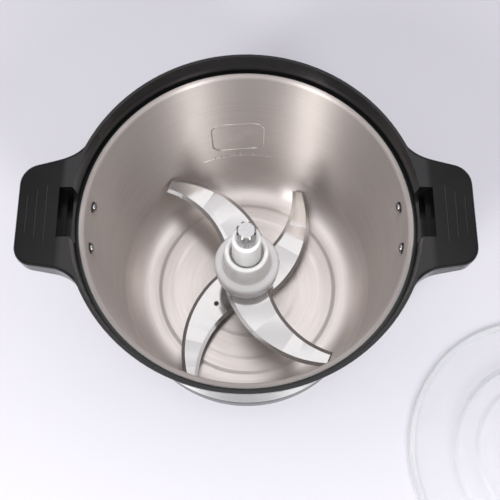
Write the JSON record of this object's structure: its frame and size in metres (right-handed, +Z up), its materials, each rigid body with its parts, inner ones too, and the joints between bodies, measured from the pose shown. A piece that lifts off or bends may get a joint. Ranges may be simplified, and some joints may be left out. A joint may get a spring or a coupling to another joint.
{
  "type": "yam pounder bowl with rotor",
  "caption": "Large steel bowl with moulded two-eared collar, four-armed sickle blade rotor that lifts off its floor spindle, and a clear domed lid.",
  "frame": {"origin": "centre of the foot ring's underside, on the table, on the bowl's axis", "axes": "+Z up along the bowl's axis, +X towards the right-hand ear, -Y to the front with the lid"},
  "size_m": [0.6384, 0.4658, 0.242],
  "materials": {
    "bowl_shell": "circumferentially brushed stainless",
    "collar": "glossy black moulding",
    "wall_screws": "bright stainless pan head",
    "wall_washers": "soft silicone",
    "base_ring": "satin black moulding",
    "foot_ring": "matt grey silicone",
    "spindle": "turned and ground stainless",
    "spindle_seal": "soft seal",
    "spindle_washer": "plain stainless",
    "spindle_nut": "plain stainless",
    "thrust_washer": "natural acetal",
    "drive_shaft": "machined stainless",
    "shaft_bush": "natural acetal",
    "hub_cap": "milky translucent moulding",
    "upper_blade": "ground stainless, bevelled on both edges",
    "hub_spacer": "milky translucent moulding",
    "lower_blade": "ground stainless, bevelled on both edges",
    "hub_foot": "milky translucent moulding",
    "shaft_nut": "plain stainless",
    "lid_panel": "clear moulded lid",
    "lid_rim_seal": "translucent silicone",
    "lid_centre_seal": "translucent silicone"
  },
  "bodies": {
    "bowl": {"bowl_shell": "bowl_shell", "collar": "collar", "wall_screws": "wall_screws", "wall_washers": "wall_washers", "base_ring": "base_ring", "foot_ring": "foot_ring", "spindle": "spindle", "spindle_seal": "spindle_seal", "spindle_washer": "spindle_washer", "spindle_nut": "spindle_nut"},
    "thrust_ring": {"thrust_washer": "thrust_washer"},
    "rotor": {"drive_shaft": "drive_shaft", "shaft_bush": "shaft_bush", "hub_cap": "hub_cap", "upper_blade": "upper_blade", "hub_spacer": "hub_spacer", "lower_blade": "lower_blade", "hub_foot": "hub_foot", "shaft_nut": "shaft_nut"},
    "lid": {"lid_panel": "lid_panel", "lid_rim_seal": "lid_rim_seal", "lid_centre_seal": "lid_centre_seal"}
  },
  "joints": [
    {"name": "rotor_lift", "type": "slide", "parent": "bowl", "child": "thrust_ring", "axis": [0, 0, 1], "range_m": [0, 0.235]},
    {"name": "rotor_spin", "type": "hinge", "parent": "thrust_ring", "child": "rotor", "pos_m": [0, 0, 0.1], "axis": [0, 0, 1], "continuous": true},
    {"name": "lid_lift", "type": "slide", "parent": "bowl", "child": "lid", "axis": [0, 0, 1], "range_m": [0, 0.25]}
  ]
}
